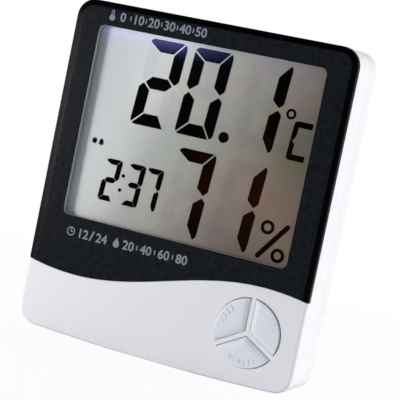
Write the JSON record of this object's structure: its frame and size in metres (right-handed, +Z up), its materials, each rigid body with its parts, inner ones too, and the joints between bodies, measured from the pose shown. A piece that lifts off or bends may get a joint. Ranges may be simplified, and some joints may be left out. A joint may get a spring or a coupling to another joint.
{
  "type": "digital hygrometer clock",
  "caption": "Flat desk or wall clock with a large temperature, humidity and time display, round button cluster, fold-out stand, battery bay and hanging hole.",
  "frame": {"origin": "middle of the footprint, on the plane that the case stands on", "axes": "+Z up, front and display towards -Y, +X to the right seen from the front"},
  "size_m": [0.098, 0.0204, 0.11],
  "materials": {
    "white_case": "satin white ABS, fine spark texture",
    "button_white": "satin white",
    "black_bezel": "satin black with a fine grain",
    "clear_lens": "clear polished acrylic",
    "black_tape": "black foam tape",
    "film": "clear polarizing film",
    "display_glass": "clear",
    "display_ground": "grey liquid crystal ground",
    "reflector_foil": "matt foil",
    "segment_black": "near black",
    "frame_plastic": "natural ABS",
    "strip_rubber": "layered silicone",
    "board_green": "solder mask",
    "screw_steel": "zinc plated",
    "epoxy_black": "cured epoxy",
    "component_black": "moulded",
    "crystal_can": "drawn can",
    "capacitor_sleeve": "shrink sleeve",
    "sensor_gold": "gold comb electrodes on ceramic",
    "plunger_plastic": "moulded",
    "cell_steel": "nickel plated steel",
    "cell_label": "plain printed sleeve",
    "contact_nickel": "nickel plated",
    "lead_red": "PVC insulation",
    "lead_black": "PVC insulation"
  },
  "bodies": {
    "case": {"front_case": "white_case", "rear_cover": "white_case", "bezel": "black_bezel", "window_lens": "clear_lens", "lens_tape": "black_tape", "front_polarizer": "film", "front_glass": "display_glass", "rear_glass": "display_ground", "reflector": "reflector_foil", "segments": "segment_black", "display_frame": "frame_plastic", "sensor_housing": "frame_plastic", "zebra_strip": "strip_rubber", "main_board": "board_green", "board_screws": "screw_steel", "case_screws": "screw_steel", "chip_drop": "epoxy_black", "resistors": "component_black", "thermistor": "component_black", "buzzer": "component_black", "front_switches": "component_black", "rear_switches": "component_black", "crystal": "crystal_can", "capacitors": "capacitor_sleeve", "humidity_sensor": "sensor_gold", "cell_can": "cell_steel", "cell_sleeve": "cell_label", "positive_contact": "contact_nickel", "negative_contact": "contact_nickel", "negative_spring": "contact_nickel", "red_lead": "lead_red", "black_lead": "lead_black"},
    "stand": {"stand": "white_case"},
    "battery_door": {"battery_door": "white_case"},
    "mode_button": {"mode_button": "button_white", "mode_plunger": "plunger_plastic"},
    "adjust_button": {"adjust_button": "button_white", "adjust_plunger": "plunger_plastic"},
    "memory_button": {"memory_button": "button_white", "memory_plunger": "plunger_plastic"},
    "unit_button": {"unit_button": "button_white", "unit_plunger": "plunger_plastic"},
    "reset_button": {"reset_button": "button_white", "reset_plunger": "plunger_plastic"}
  },
  "joints": [
    {"name": "stand_hinge", "type": "hinge", "parent": "case", "child": "stand", "pos_m": [0, 0.00875, 0.0586], "axis": [1, 0, 0], "range_deg": [0, 35]},
    {"name": "battery_door_hinge", "type": "hinge", "parent": "case", "child": "battery_door", "pos_m": [-0.034, 0.00915, 0.05945], "axis": [1, 0, 0], "range_deg": [0, 100]},
    {"name": "mode_press", "type": "slide", "parent": "case", "child": "mode_button", "axis": [0, 1, 0], "range_m": [0, 0.0005], "stiffness_N_per_m": 400},
    {"name": "adjust_press", "type": "slide", "parent": "case", "child": "adjust_button", "axis": [0, 1, 0], "range_m": [0, 0.0005], "stiffness_N_per_m": 400},
    {"name": "memory_press", "type": "slide", "parent": "case", "child": "memory_button", "axis": [0, 1, 0], "range_m": [0, 0.0005], "stiffness_N_per_m": 400},
    {"name": "unit_press", "type": "slide", "parent": "case", "child": "unit_button", "axis": [0, -1, 0], "range_m": [0, 0.0005], "stiffness_N_per_m": 400},
    {"name": "reset_press", "type": "slide", "parent": "case", "child": "reset_button", "axis": [0, -1, 0], "range_m": [0, 0.0005], "stiffness_N_per_m": 400}
  ]
}
